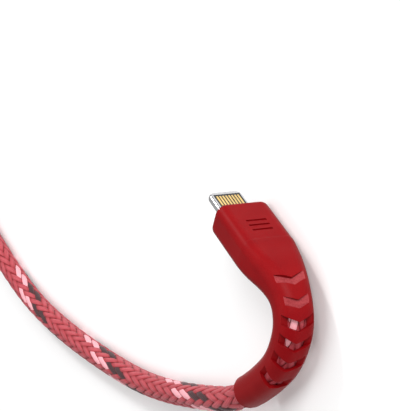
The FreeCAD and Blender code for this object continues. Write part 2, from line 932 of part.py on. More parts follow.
def make_tie():
    """A flat strap that goes once round the coil's bundle of turns."""
    radius = size("cord_diameter") / 2
    margin = size("tie_gap")
    outer = size("coil_outer_turn") + radius + size("coil_slack") + margin
    inner_turn = size("coil_inner_turn") - radius - size("coil_slack")
    inner = math.sqrt(inner_turn**2 - (size("tie_width") / 2) ** 2) - margin
    low = size("tie_thickness")
    high = coil_high() + radius + size("coil_slack") + margin
    thick = size("tie_thickness")
    corner = Vector(size("coil_x") - size("tie_width") / 2, size("coil_y") + inner, low)
    space = Part.makeBox(size("tie_width"), outer - inner, high - low, corner)
    thicker = Vector(0, -thick, -thick)
    across = outer - inner + 2 * thick
    band = Part.makeBox(size("tie_width"), across, high - low + 2 * thick, corner + thicker)
    rounding = size("tie_corner")
    band = band.makeFillet(rounding, [edge for edge in band.Edges if along_x(edge)])
    space = space.makeFillet(rounding - thick, [edge for edge in space.Edges if along_x(edge)])
    feature("cable_tie", band.cut(space))


# --- host plug ----------------------------------------------------------------------------


def host_place(along=0.0, side=0.0, up=0.0):
    """A placement in the host plug: along its axis from the boot's front face, and beside it."""
    length = size("host_boot_length") + size("host_relief_length")
    front = tail_corners()[-1] + host_axis() * length
    turn = Rotation(Vector(0, 0, 1), size("host_heading"))
    return Placement(front, turn).multiply(Placement(Vector(along, side, up), Rotation()))


def make_host_shell():
    """Metal shell with its latch holes, the plastic tongue and four contact strips."""
    shell = document.addObject("PartDesign::Body", "HostShell")
    offset = "shell_out - shell_length"
    section = rectangle(
        shell, "shell_section", "YZ_Plane", "shell_width", "shell_thickness", offset=offset
    )
    pad(shell, section, "shell_length")
    fillet(shell, along_x, "shell_corner")
    inside = rectangle(
        shell,
        "shell_inside",
        "YZ_Plane",
        "shell_width - 2 * shell_wall",
        "shell_thickness - 2 * shell_wall",
        offset=offset + " - cut_clear",
    )
    pocket(shell, inside, "shell_length + 2 * cut_clear")
    for number, side in enumerate(("latch_spacing / 2", "-latch_spacing / 2")):
        hole = rectangle(
            shell,
            f"latch_hole_{number}",
            "XY_Plane",
            "latch_hole",
            "latch_hole",
            across="shell_out - latch_from_tip",
            upward=side,
        )
        pocket(shell, hole, "shell_thickness * 2", both_ways=True)
    shell.Placement = host_place()
    keep(shell, "host_shell")

    gap = size("small_gap")
    inner_half = size("shell_thickness") / 2 - size("shell_wall")
    back = size("shell_out") - size("shell_length") + 4 * gap
    up = -inner_half + gap + size("tongue_thickness") / 2
    plate_start = size("shell_out") - size("tongue_recess") - size("tongue_length")
    place = host_place(plate_start, 0, up)
    plate = box("TonguePlate", "tongue_length", "tongue_width", "tongue_thickness", place)
    high = "shell_thickness - 2 * shell_wall - 2 * small_gap"
    block = box("TongueBlock", "tongue_block", "tongue_width", high, host_place(back))
    tongue = document.addObject("Part::Fuse", "Tongue")
    tongue.Base = plate
    tongue.Tool = block
    keep(tongue, "host_tongue")
    strip_up = -inner_half + 2 * gap + size("tongue_thickness") + size("strip_thickness") / 2
    setback = size("tongue_recess") + size("strip_setback")
    strip_start = size("shell_out") - setback - size("strip_length")
    strips = []
    for number, side in enumerate(STRIP_SIDES):
        place = host_place(strip_start, side, strip_up)
        name = f"Strip_{number}"
        strips.append(box(name, "strip_length", "strip_width", "strip_thickness", place))
    group("host_contacts", strips)


def host_board_front():
    """Where the host plug's circuit board ends behind its shell."""
    return size("shell_out") - size("shell_length") - 3 * size("small_gap")


def make_host_inside():
    """Host plug's board, resistors, inner mould, ferrule, wires and stripped jacket."""
    gap = size("small_gap")
    front = host_board_front()
    start = front - size("host_board_length")
    board = box(
        "HostBoard",
        "host_board_length",
        "host_board_width",
        "host_board_thickness",
        host_place(start),
    )
    keep(board, "host_board")
    up = (size("host_board_thickness") + size("resistor_thickness")) / 2 + gap
    resistors = []
    for number, side in enumerate(RESISTOR_SIDES):
        place = host_place(start + size("resistor_place"), side, up)
        name = f"Resistor_{number}"
        wide = "resistor_length / 2"
        resistors.append(box(name, "resistor_length", wide, "resistor_thickness", place))
    group("host_resistors", resistors)
    back = -size("front_wall") - gap - size("host_mould_length")
    make_host_mould(start, back)
    jacket = back - 3 * gap
    keep(ferrule("HostFerrule", host_place(back + size("ferrule_wall"))), "host_ferrule")
    end = rod("HostJacket", "jacket_diameter / 2", "jacket_strip", host_place(jacket))
    keep(end, "host_jacket_end")
    for label, diameter, face, _, wide, narrow in WIRES:
        height = face * soldered_height("host_board_thickness", diameter)
        corners = [
            (jacket + size("jacket_strip") + gap, narrow, height),
            (start - size("wire_gather"), narrow, height),
            (start + size("host_wire_turn"), wide * size("host_wire_spread"), height),
            (start + size("host_wire_overlap"), wide, height),
        ]
        lead("host_" + label, diameter, corners, host_place())
    return jacket


def make_host_mould(start, back):
    """Hard inner mould round the host plug's board and ferrule."""
    block = box(
        "HostMouldBlock",
        "host_mould_length",
        "host_mould_width",
        "host_mould_thickness",
        host_place(back),
    )
    shell_space = box(
        "ShellSpace",
        "shell_length",
        "shell_width + 2 * small_gap",
        "shell_thickness + 2 * small_gap",
        host_place(size("shell_out") - size("shell_length") - size("small_gap")),
    )
    board_space = box(
        "BoardSpace",
        "host_board_length + 2 * cut_clear",
        "host_board_width + 4 * small_gap",
        "host_board_thickness + 4 * host_board_room - 2 * small_gap",
        host_place(start - size("neck_wall")),
    )
    wall = "jacket_diameter / 2 + ferrule_wall + 3 * small_gap"
    bore = rod("HostBore", wall, "host_mould_length", host_place(back - size("cut_clear")))
    keep(cut("host_mould", block, shell_space, board_space, bore), "host_inner_mould")


def make_host_boot(jacket):
    """Host plug's boot with a straight relief, and the cord inside it."""
    place = host_place()
    axis = host_axis()
    side = Vector(-axis.y, axis.x, 0)
    up = Vector(0, 0, 1)

    def frame(along):
        return place.multVec(Vector(along, 0, 0)), axis, up, side

    width = size("host_boot_width")
    thickness = size("host_boot_thickness")
    corner = size("host_boot_corner")
    back = -size("host_boot_length")
    outline = rounded_outline(frame(back), width, thickness, corner)
    housing = Part.Face(outline).extrude(axis * size("host_boot_length"))
    front_point = place.multVec(Vector(0, 0, 0))
    front = [
        edge
        for edge in housing.Edges
        if all(abs((vertex.Point - front_point).dot(axis)) < 1e-6 for vertex in edge.Vertexes)
    ]
    housing = housing.makeFillet(size("front_edge"), front)
    outlines = []
    for step in range(HOST_SECTIONS + 1):
        share = step / HOST_SECTIONS
        taper = smooth(share / HOST_TAPER)
        across = width + (size("host_relief_width") - width) * taper
        through = thickness + (size("host_relief_thickness") - thickness) * taper
        shrink = max(0.0, share - HOST_TAPER) / (1 - HOST_TAPER)
        across += (size("host_relief_end") - size("host_relief_width")) * shrink
        through += (size("host_relief_end") - size("host_relief_thickness")) * shrink
        round_corner = corner + (ROUND_SHARE * min(across, through) - corner) * taper
        along = back - share * size("host_relief_length")
        outlines.append(rounded_outline(frame(along), across, through, round_corner))
    relief = Part.makeLoft(outlines, True, False)
    boot = housing.fuse(relief).removeSplitter()
    gap = size("small_gap")
    wall = size("front_wall")
    opening = box_at(
        place, -2 * wall, size("cut_clear"), size("shell_width"), size("shell_thickness"), gap
    )
    hollow = box_at(
        place,
        -wall - size("host_mould_length") - 2 * gap,
        -wall,
        size("host_mould_width"),
        size("host_mould_thickness"),
        gap,
    )
    mouth = -size("host_boot_length") - size("host_relief_length")
    radius = size("cord_diameter") / 2
    begin = place.multVec(Vector(mouth, 0, 0))
    bore = Part.makeCylinder(radius + gap, jacket + wall - mouth, begin, axis)
    hollows = [opening, hollow, bore]
    for number in range(int(size("host_chevrons"))):
        along = back + size("host_chevron_start") - number * size("host_chevron_pitch")
        for sign in (1, -1):
            point = place.multVec(Vector(along, 0, 0))
            turned = (point, -axis, up * sign, side * sign)
            level = thickness / 2 - size("pocket_depth") - size("host_chevron_drop") * number
            hollows.append(
                chevron(
                    turned,
                    size("chevron_half_width"),
                    size("chevron_depth"),
                    size("host_chevron_thickness"),
                    max(level, radius + 3 * gap),
                    thickness / 2 + size("cut_clear"),
                )
            )
    boot = boot.cut(hollows)
    feature("host_boot", largest_solid(boot))
    feature("host_relief_cord", Part.makeCylinder(radius, jacket - mouth, begin, axis))


def box_at(place, first, last, wide, high, gap):
    """A box in the host plug between two lengths, with a gap all round its section."""
    corner = Vector(first, -wide / 2 - gap, -high / 2 - gap)
    block = Part.makeBox(last - first, wide + 2 * gap, high + 2 * gap, corner)
    block.Placement = place
    return block


# --- build and write ----------------------------------------------------------------------


def check_and_export():
    """Confirms that every object and shape is sound, then writes one file for each sub-part."""
    document.recompute()
    bad = {"Invalid", "Error"}
    broken = [thing.Name for thing in document.Objects if bad & set(thing.State)]
    if broken:
        raise ValueError(f"failed objects: {broken}")
    os.makedirs("parts", exist_ok=True)
    for label, thing in parts.items():
        shape = thing.Shape
        if shape.isNull() or not shape.isValid() or not shape.Solids:
            raise ValueError(f"{label} is not a sound solid")
        shape.exportStep(f"parts/{label}.step")
    print(len(parts), "sub-parts written")


fill_sheet()
the_bend = Bend()
print("boot length along the bend", round(the_bend.length, 2))
make_tab()
make_board()
make_inner_mould()
make_wires()
make_boot(the_bend)
make_relief_cord(the_bend)
make_run(the_bend)
make_coil()
make_tail()
make_tie()
make_host_shell()
host_jacket = make_host_inside()
make_host_boot(host_jacket)
check_and_export()
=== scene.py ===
"""Looks of the braided charging cable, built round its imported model.

The cable lies on a table: +X is the way the cord leaves the phone plug, +Y is the outward side
of the plug's wide face and +Z is up. Every length is in metres.
"""

import logging
import math
from dataclasses import dataclass, field
from enum import Enum

import bpy
import numpy as np
from mathutils import Matrix, Vector


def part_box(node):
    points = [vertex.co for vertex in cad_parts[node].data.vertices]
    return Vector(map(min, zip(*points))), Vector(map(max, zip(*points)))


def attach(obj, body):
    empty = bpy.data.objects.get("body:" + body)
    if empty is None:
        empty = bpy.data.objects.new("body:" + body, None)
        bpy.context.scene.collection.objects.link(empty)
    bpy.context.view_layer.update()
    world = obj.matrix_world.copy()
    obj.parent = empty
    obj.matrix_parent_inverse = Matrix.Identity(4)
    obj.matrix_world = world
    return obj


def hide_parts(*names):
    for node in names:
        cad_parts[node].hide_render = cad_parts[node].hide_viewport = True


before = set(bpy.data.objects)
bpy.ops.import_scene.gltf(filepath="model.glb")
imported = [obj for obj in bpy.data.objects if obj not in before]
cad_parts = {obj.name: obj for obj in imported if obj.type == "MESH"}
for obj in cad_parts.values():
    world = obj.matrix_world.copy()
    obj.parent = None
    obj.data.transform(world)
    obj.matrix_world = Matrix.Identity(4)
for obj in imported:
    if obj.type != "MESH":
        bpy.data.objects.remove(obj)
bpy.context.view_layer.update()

LOG = logging.getLogger("charging_cable")
MM = 0.001
BODY = "root"
NOISE_RANGE = (0.3, 0.7)

Colour = tuple[float, float, float]
Point = tuple[float, float, float]


class Slot(Enum):
    """The record's material slot names for the new pieces; nothing in this script uses them."""

    BRAID = "braid_red"
    STRAP = "strap_black"


# --- node graphs ---------------------------------------------------------------------------


class Graph:
    """A material's node graph, written one value at a time."""

    def __init__(self, name: str) -> None:
        """Starts a new material with one principled shader.

        Args:
            name: The material's name.
        """
        self.material = bpy.data.materials.new(name)
        self.material.use_nodes = True
        self.tree = self.material.node_tree
        self.shader = self.tree.nodes["Principled BSDF"]

    def node(self, kind: str, **settings: object) -> bpy.types.Node:
        """Adds a node.

        Args:
            kind: The node's type name.
            **settings: Attributes to set on it.

        Returns:
            The new node.
        """
        made = self.tree.nodes.new(kind)
        for name, value in settings.items():
            setattr(made, name, value)
        return made

    def feed(self, socket: bpy.types.NodeSocket, value: object) -> None:
        """Links a socket to an output, or sets it to a constant.

        Args:
            socket: The input socket.
            value: An output socket, a number or a vector.
        """
        if isinstance(value, bpy.types.NodeSocket):
            self.tree.links.new(value, socket)
        else:
            socket.default_value = value

    def math(self, operation: str, first: object, second: object = 0.0) -> bpy.types.NodeSocket:
        """Works out one number from one or two others.

        Args:
            operation: The math node's operation.
            first: Its first value.
            second: Its second value.

        Returns:
            The result's socket.
        """
        made = self.node("ShaderNodeMath", operation=operation)
        self.feed(made.inputs[0], first)
        self.feed(made.inputs[1], second)
        return made.outputs[0]

    def mix(self, share: object, first: object, second: object) -> bpy.types.NodeSocket:
        """Blends two colours by a share from 0 to 1.

        Args:
            share: How much of the second colour.
            first: The colour at 0.
            second: The colour at 1.

        Returns:
            The blended colour's socket.
        """
        made = self.node("ShaderNodeMix", data_type="RGBA")
        self.feed(made.inputs[0], share)
        for socket, colour in ((made.inputs[6], first), (made.inputs[7], second)):
            self.feed(socket, (*colour, 1.0) if isinstance(colour, tuple) else colour)
        return made.outputs[2]

    def remap(
        self, value: object, low: float, high: float, start: float, end: float
    ) -> bpy.types.NodeSocket:
        """Maps a range of numbers to another, held at both ends.

        Args:
            value: The number to map.
            low: The range's low end.
            high: The range's high end.
            start: The result at the low end.
            end: The result at the high end.

        Returns:
            The result's socket.
        """
        made = self.node("ShaderNodeMapRange")
        self.feed(made.inputs[0], value)
        for socket, number in zip(made.inputs[1:5], (low, high, start, end)):
            socket.default_value = number
        return made.outputs[0]

    def spread(self, noise: object, start: float, end: float) -> bpy.types.NodeSocket:
        """Maps the range that noise mostly keeps to, to another."""
        return self.remap(noise, *NOISE_RANGE, start, end)

    def place(self, stretch: Point = (1.0, 1.0, 1.0)) -> bpy.types.NodeSocket:
        """The surface point in metres, stretched along the axes.

        Args:
            stretch: Scale along X, Y and Z.

        Returns:
            The point's socket.
        """
        spot = self.node("ShaderNodeTexCoord").outputs["Object"]
        mapping = self.node("ShaderNodeMapping")
        self.feed(mapping.inputs["Vector"], spot)
        mapping.inputs["Scale"].default_value = stretch
        return mapping.outputs[0]

    def noise(self, where: object, grain: float, detail: float = 2.0) -> bpy.types.NodeSocket:
        """Soft noise.

        Args:
            where: The point to read it at.
            grain: Size of its blots in metres.
            detail: How many finer layers it has.

        Returns:
            The noise value's socket.
        """
        made = self.node("ShaderNodeTexNoise")
        self.feed(made.inputs["Vector"], where)
        made.inputs["Scale"].default_value = 1.0 / grain
        made.inputs["Detail"].default_value = detail
        return made.outputs[0]

    def bump(self, height: object, depth: float, strength: float) -> None:
        """Adds fine relief to the surface, over any that is there.

        Args:
            height: The relief's height, from 0 to 1.
            depth: Its depth in metres.
            strength: How much of it shows.
        """
        made = self.node("ShaderNodeBump")
        self.feed(made.inputs["Height"], height)
        made.inputs["Distance"].default_value = depth
        made.inputs["Strength"].default_value = strength
        normal = self.shader.inputs["Normal"]
        if normal.is_linked:
            self.feed(made.inputs["Normal"], normal.links[0].from_socket)
        self.feed(normal, made.outputs[0])

    def set(self, **values: object) -> None:
        """Sets or links the shader's own inputs, named with underscores for spaces."""
        for name, value in values.items():
            self.feed(self.shader.inputs[name.replace("_", " ")], value)


# --- finishes ------------------------------------------------------------------------------


@dataclass(frozen=True)
class SatinRubber:
    """Soft moulded rubber with a fine matt grain."""

    name: str
    colour: Colour
    shade: Colour
    roughness: float = 0.42
    grain: float = 0.00016
    depth: float = 0.00001
    cloud: float = 0.004
    fine_share: float = 0.55
    broad_share: float = 0.45
    specular: float = 0.06

    def build(self) -> bpy.types.Material:
        """Makes the material."""
        graph = Graph(self.name)
        where = graph.place()
        fine = graph.noise(where, self.grain, 3.0)
        broad = graph.noise(where, self.cloud, 2.0)
        fine_tone = graph.math("MULTIPLY", fine, self.fine_share)
        broad_tone = graph.math("MULTIPLY", broad, self.broad_share)
        tone = graph.math("ADD", fine_tone, broad_tone)
        share = graph.remap(tone, 0.36, 0.64, 0.0, 1.0)
        graph.set(Base_Color=graph.mix(share, self.shade, self.colour))
        rough = graph.spread(fine, self.roughness - 0.06, self.roughness + 0.08)
        graph.set(Roughness=rough, Specular_IOR_Level=self.specular)
        graph.bump(fine, self.depth, 0.6)
        return graph.material


@dataclass(frozen=True)
class BrushedMetal:
    """Plated or stamped metal with fine draw lines."""

    name: str
    colour: Colour
    roughness: float = 0.24
    lines: Point = (0.06, 1.0, 1.0)
    line_width: float = 0.00012
    cloud: float = 0.0025
    dullness: float = 0.82

    def build(self) -> bpy.types.Material:
        """Makes the material."""
        graph = Graph(self.name)
        streaks = graph.noise(graph.place(self.lines), self.line_width, 3.0)
        clouds = graph.noise(graph.place(), self.cloud, 2.0)
        worn = graph.spread(clouds, 0.0, 1.0)
        dull = tuple(self.dullness * part for part in self.colour)
        graph.set(Base_Color=graph.mix(worn, dull, self.colour), Metallic=1.0)
        graph.set(Roughness=graph.spread(streaks, self.roughness - 0.05, self.roughness + 0.1))
        graph.bump(streaks, 0.000004, 0.4)
        return graph.material


@dataclass(frozen=True)
class HardPlastic:
    """Moulded hard plastic with a faint texture."""

    name: str
    colour: Colour
    roughness: float = 0.38
    grain: float = 0.0002
    cloud: float = 0.0015

    def build(self) -> bpy.types.Material:
        """Makes the material."""
        graph = Graph(self.name)
        where = graph.place()
        fine = graph.noise(where, self.grain, 3.0)
        pale = tuple(min(1.0, part * 1.25 + 0.004) for part in self.colour)
        share = graph.remap(graph.noise(where, self.cloud), 0.35, 0.65, 0.0, 1.0)
        graph.set(Base_Color=graph.mix(share, self.colour, pale))
        graph.set(Roughness=graph.spread(fine, self.roughness - 0.05, self.roughness + 0.07))
        graph.bump(fine, 0.000006, 0.4)
        return graph.material


@dataclass(frozen=True)
class SolderMask:
    """Lacquered circuit board with the shadow of its tracks."""

    name: str
    colour: Colour
    track: Colour
    pitch: float = 0.0006

    def build(self) -> bpy.types.Material:
        """Makes the material."""
        graph = Graph(self.name)
        cells = graph.node("ShaderNodeTexBrick")
        graph.feed(cells.inputs["Vector"], graph.place())
        cells.inputs["Scale"].default_value = 1.0 / (4 * self.pitch)
        cells.inputs["Mortar Size"].default_value = 0.06
        graph.set(Base_Color=graph.mix(cells.outputs["Fac"], self.colour, self.track))
        graph.set(Roughness=0.3, Coat_Weight=0.4)
        graph.bump(cells.outputs["Fac"], 0.00002, 0.5)
        return graph.material


@dataclass(frozen=True)
class Weave:
    """The two-over-two weave of the cord's sleeve, the same for its shape and its colours."""

    yarns: int = 10
    lay: float = 42.8 * MM
    coil_lay: float = 26.0 * MM
    change: tuple[float, float] = (160.0 * MM, 260.0 * MM)
    turn: float = -0.0708
    slide: float = 0.25
    crown_power: float = 3.0
    yarn_share: float = 0.9
    wave_gain: float = 1.35
    wave_share: float = 0.36

    def lays(self, stations: np.ndarray) -> np.ndarray:
        """How many lays the yarns have wound by each length along the cord.

        Args:
            stations: Lengths along the cord, rising.

        Returns:
            The number of lays, falling, so that the accents wind the right way.
        """
        share = np.clip((stations - self.change[0]) / (self.change[1] - self.change[0]), 0.0, 1.0)
        lay = self.lay + (self.coil_lay - self.lay) * share
        steps = np.diff(stations) / ((lay[1:] + lay[:-1]) / 2)
        return self.slide - np.concatenate([[0.0], np.cumsum(steps)])

    def heights(self, first: np.ndarray, second: np.ndarray) -> tuple[np.ndarray, np.ndarray]:
        """Height of each set of yarns.

        Args:
            first: Place across the yarns that wind one way, one per yarn.
            second: Place across the yarns that wind the other way.

        Returns:
            The two sets' heights, from about -0.4 to 1.
        """
        near_first = np.round(first)
        near_second = np.round(second)
        wave_first = np.cos((near_first + second - 0.5) * math.pi / 2)
        wave_second = -np.cos((first + near_second - 0.5) * math.pi / 2)
        return (
            self._height(first - near_first, wave_first),
            self._height(second - near_second, wave_second),
        )

    def _height(self, across: np.ndarray, wave: np.ndarray) -> np.ndarray:
        """Height of one set of yarns, from the place across a yarn and its wave."""
        reach = np.abs(2 * across) / self.yarn_share
        crown = np.sqrt(np.maximum(0.0, 1.0 - reach**self.crown_power))
        raised = np.clip(self.wave_gain * wave, -1.0, 1.0)
        return self.wave_share * raised + (1 - self.wave_share) * crown


@dataclass(frozen=True)
class BraidedYarn:
    """Nylon yarns, braided, each a flat band of filaments; four of one set are accents."""

    name: str
    weave: Weave
    red: Colour = (0.27, 0.012, 0.018)
    # Painted highlight: a pale pink colour mixed onto the crest of each yarn.
    painted_sheen: Colour = (0.50, 0.085, 0.105)
    # Painted shade: a dark red colour mixed into the low gaps between the yarns.
    painted_gap_shade: Colour = (0.085, 0.001, 0.002)
    pink: Colour = (0.80, 0.36, 0.40)
    charcoal: Colour = (0.045, 0.016, 0.018)
    strands: int = 4
    set_shift: float = 0.37
    streak: Point = (2.6, 0.35, 3.1)

    def build(self) -> bpy.types.Material:
        """Makes the material, from the cord's own map of turns and lays."""
        graph = Graph(self.name)
        spot = graph.node("ShaderNodeSeparateXYZ")
        graph.feed(spot.inputs[0], graph.node("ShaderNodeUVMap", uv_map="braid").outputs[0])
        yarns = self.weave.yarns
        round_it = graph.math("MULTIPLY", spot.outputs[0], yarns)
        along = graph.math("MULTIPLY", spot.outputs[1], yarns)
        first = graph.math("ADD", round_it, along)
        second = graph.math("SUBTRACT", round_it, along)
        near_first = graph.math("ROUND", first)
        near_second = graph.math("ROUND", second)
        across_first = graph.math("SUBTRACT", first, near_first)
        across_second = graph.math("SUBTRACT", second, near_second)
        high_first = self._height(graph, across_first, near_first, second, 1.0)
        high_second = self._height(graph, across_second, near_second, first, -1.0)
        on_top = graph.math("GREATER_THAN", high_first, high_second)
        height = graph.math("MAXIMUM", high_first, high_second)
        across = self._choose(graph, on_top, across_first, across_second)
        length = self._choose(graph, on_top, second, first)
        shifted = graph.math("ADD", near_second, self.set_shift)
        number = self._choose(graph, on_top, near_first, shifted)

        filament = graph.math("MULTIPLY", across, float(self.strands))
        ridge = graph.math("SINE", graph.math("MULTIPLY", filament, math.pi))
        ridge = graph.math("ABSOLUTE", ridge)
        strand_place = graph.node("ShaderNodeCombineXYZ")
        parts = zip(strand_place.inputs, (filament, length, number), self.streak)
        for socket, part, scale in parts:
            graph.feed(socket, graph.math("MULTIPLY", part, scale))
        streak = graph.node("ShaderNodeTexNoise")
        graph.feed(streak.inputs["Vector"], strand_place.outputs[0])
        streak.inputs["Scale"].default_value = 1.0
        streak.inputs["Detail"].default_value = 3.0
        # Painted highlight: the yarn crests, broken up by the filament streaks, are mixed towards
        # the pale pink colour.
        crest = graph.remap(height, 0.45, 1.0, 0.0, 1.0)
        painted_highlight = graph.math("MULTIPLY", crest, graph.spread(streak.outputs[0], 0.25, 1.0))
        red = graph.mix(painted_highlight, self.red, self.painted_sheen)
        colour = self._accents(graph, red, near_first, on_top)
        # Painted shade: the base colour darkens towards the low gaps between the yarns.
        shadow = graph.remap(height, 0.05, 0.62, 0.0, 1.0)
        graph.set(Base_Color=graph.mix(shadow, self.painted_gap_shade, colour))
        graph.set(Roughness=graph.spread(streak.outputs[0], 0.42, 0.6))
        graph.set(Sheen_Weight=0.12, Sheen_Roughness=0.4, Sheen_Tint=(1.0, 0.6, 0.66, 1.0))
        graph.set(Specular_IOR_Level=0.3)
        graph.bump(ridge, 0.00005, 0.7)
        graph.bump(streak.outputs[0], 0.00003, 0.6)
        return graph.material

    def _height(
        self,
        graph: Graph,
        across: bpy.types.NodeSocket,
        near: bpy.types.NodeSocket,
        other: bpy.types.NodeSocket,
        sign: float,
    ) -> bpy.types.NodeSocket:
        """Height of one set of yarns, as Weave works it out.

        Args:
            graph: The graph to add it to.
            across: Place across a yarn, from -0.5 to 0.5.
            near: The yarn's number.
            other: Place across the other set's yarns.
            sign: 1 for the set that starts on top, -1 for the other.

        Returns:
            The height's socket.
        """
        phase = graph.math("SUBTRACT", graph.math("ADD", near, other), 0.5)
        wave = graph.math("COSINE", graph.math("MULTIPLY", phase, math.pi / 2))
        gained = graph.math("MULTIPLY", wave, sign * self.weave.wave_gain)
        raised = graph.math("MAXIMUM", graph.math("MINIMUM", gained, 1.0), -1.0)
        reach = graph.math("ABSOLUTE", graph.math("MULTIPLY", across, 2.0 / self.weave.yarn_share))
        edge = graph.math("POWER", reach, self.weave.crown_power)
        crown = graph.math("SQRT", graph.math("MAXIMUM", graph.math("SUBTRACT", 1.0, edge), 0.0))
        lifted = graph.math("MULTIPLY", raised, self.weave.wave_share)
        return graph.math("ADD", lifted, graph.math("MULTIPLY", crown, 1 - self.weave.wave_share))

    @staticmethod
    def _choose(
        graph: Graph, share: object, first: object, second: object
    ) -> bpy.types.NodeSocket:
        """The first number where the share is 1, else the second."""
        made = graph.node("ShaderNodeMix", data_type="FLOAT")
        graph.feed(made.inputs[0], share)
        graph.feed(made.inputs[2], second)
        graph.feed(made.inputs[3], first)
        return made.outputs[0]

    def _accents(
        self, graph: Graph, red: object, number: object, on_top: object
    ) -> bpy.types.NodeSocket:
        """Two pale and two dark yarns of the first set, in every turn.

        Args:
            graph: The graph to add them to.
            red: The other yarns' colour.
            number: The first set's yarn number.
            on_top: 1 where the first set is on top.

        Returns:
            The colour's socket.
        """
        middle = graph.math("ADD", number, 0.5)
        turned = graph.math("FLOORED_MODULO", middle, float(self.weave.yarns))
        pale = graph.math("MULTIPLY", on_top, graph.math("LESS_THAN", turned, 2.0))
        before = graph.math("LESS_THAN", turned, 4.0)
        after = graph.math("GREATER_THAN", turned, 2.0)
        dark_band = graph.math("MULTIPLY", before, after)
        dark = graph.math("MULTIPLY", on_top, dark_band)
        return graph.mix(dark, graph.mix(pale, red, self.pink), self.charcoal)


@dataclass(frozen=True)
class HookAndLoop:
    """Napped strap fabric."""

    name: str
    colour: Colour = (0.012, 0.012, 0.013)
    tip: Colour = (0.05, 0.05, 0.054)
    loops_per_metre: float = 2600.0
    fuzz: float = 0.0002

    def build(self) -> bpy.types.Material:
        """Makes the material."""
        graph = Graph(self.name)
        where = graph.place()
        cells = graph.node("ShaderNodeTexVoronoi")
        graph.feed(cells.inputs["Vector"], where)
        cells.inputs["Scale"].default_value = self.loops_per_metre
        fuzz = graph.noise(where, self.fuzz, 4.0)
        share = graph.remap(graph.math("MULTIPLY", fuzz, cells.outputs[0]), 0.05, 0.4, 0.0, 1.0)
        graph.set(Base_Color=graph.mix(share, self.colour, self.tip))
        graph.set(Roughness=0.85, Sheen_Weight=0.12, Sheen_Roughness=0.5)
        graph.bump(cells.outputs[0], 0.00012, 0.8)
        graph.bump(fuzz, 0.00005, 0.5)
        return graph.material


@dataclass(frozen=True)
class StudioPaper:
    """Plain pale backdrop paper."""

    name: str = "studio_paper"
    colour: Colour = (0.93, 0.93, 0.93)

    def build(self) -> bpy.types.Material:
        """Makes the material."""
        graph = Graph(self.name)
        graph.set(Base_Color=(*self.colour, 1.0), Roughness=0.9, Specular_IOR_Level=0.1)
        return graph.material


# --- studio --------------------------------------------------------------------------------


@dataclass
class Studio:
    """Camera, floor and soft lights."""

    spot: Point = (0.19951, 0.16721, 0.14528)
    right: Point = (0.4079, 0.2042, -0.8899)
    back: Point = (0.6983, 0.5582, 0.4482)
    lens: float = 148.905
    sensor: float = 36.0
    clip: tuple[float, float] = (0.01, 20.0)
    floor_side: float = 6.0
    floor_drop: float = 0.00002
    world_strength: float = 0.5
    lamps: dict[str, tuple[Point, Point, float, float]] = field(
        default_factory=lambda: {
            "key": ((0.24, 0.69, 0.30), (0.0, -0.03, 0.0), 0.45, 6.2),
            "top": ((-0.10, 0.0, 0.90), (-0.08, -0.04, 0.0), 0.8, 2.6),
            "strip": ((-0.56, 0.36, 0.45), (0.0, -0.01, 0.0), 0.12, 2.0),
        }
    )

    def build_camera(self) -> None:
        """Places the camera and makes it the scene's."""
        data = bpy.data.cameras.new("camera")
        data.lens = self.lens
        data.sensor_width = self.sensor
        data.clip_start, data.clip_end = self.clip
        camera = bpy.data.objects.new("camera", data)
        bpy.context.scene.collection.objects.link(camera)
        back = Vector(self.back).normalized()
        up = back.cross(Vector(self.right)).normalized()
        right = up.cross(back).normalized()
        turn = Matrix((right, up, back)).transposed().to_4x4()
        camera.matrix_world = Matrix.Translation(self.spot) @ turn
        bpy.context.scene.camera = camera

    def build_floor(self) -> None:
        """Lays a plain pale floor under the cable."""
        half = self.floor_side / 2
        mesh = bpy.data.meshes.new("floor")
        low = -self.floor_drop
        corners = [(-half, -half, low), (half, -half, low), (half, half, low), (-half, half, low)]
        mesh.from_pydata(corners, [], [(0, 1, 2, 3)])
        mesh.materials.append(StudioPaper().build())
        floor = bpy.data.objects.new("floor", mesh)
        bpy.context.scene.collection.objects.link(floor)

    def build_lights(self) -> None:
        """Hangs the soft lights and sets the pale surroundings."""
        for name, (spot, target, side, power) in self.lamps.items():
            data = bpy.data.lights.new(name, "AREA")
            data.shape = "SQUARE"
            data.size = side
            data.energy = power
            lamp = bpy.data.objects.new(name, data)
            lamp.location = spot
            aim = Vector(target) - Vector(spot)
            lamp.rotation_euler = aim.to_track_quat("-Z", "Y").to_euler()
            bpy.context.scene.collection.objects.link(lamp)
        world = bpy.data.worlds.new("surroundings")
        world.use_nodes = True
        background = world.node_tree.nodes["Background"]
        background.inputs["Color"].default_value = (1.0, 1.0, 1.0, 1.0)
        background.inputs["Strength"].default_value = self.world_strength
        bpy.context.scene.world = world
        bpy.context.scene.view_settings.view_transform = "Standard"


# --- cord ----------------------------------------------------------------------------------


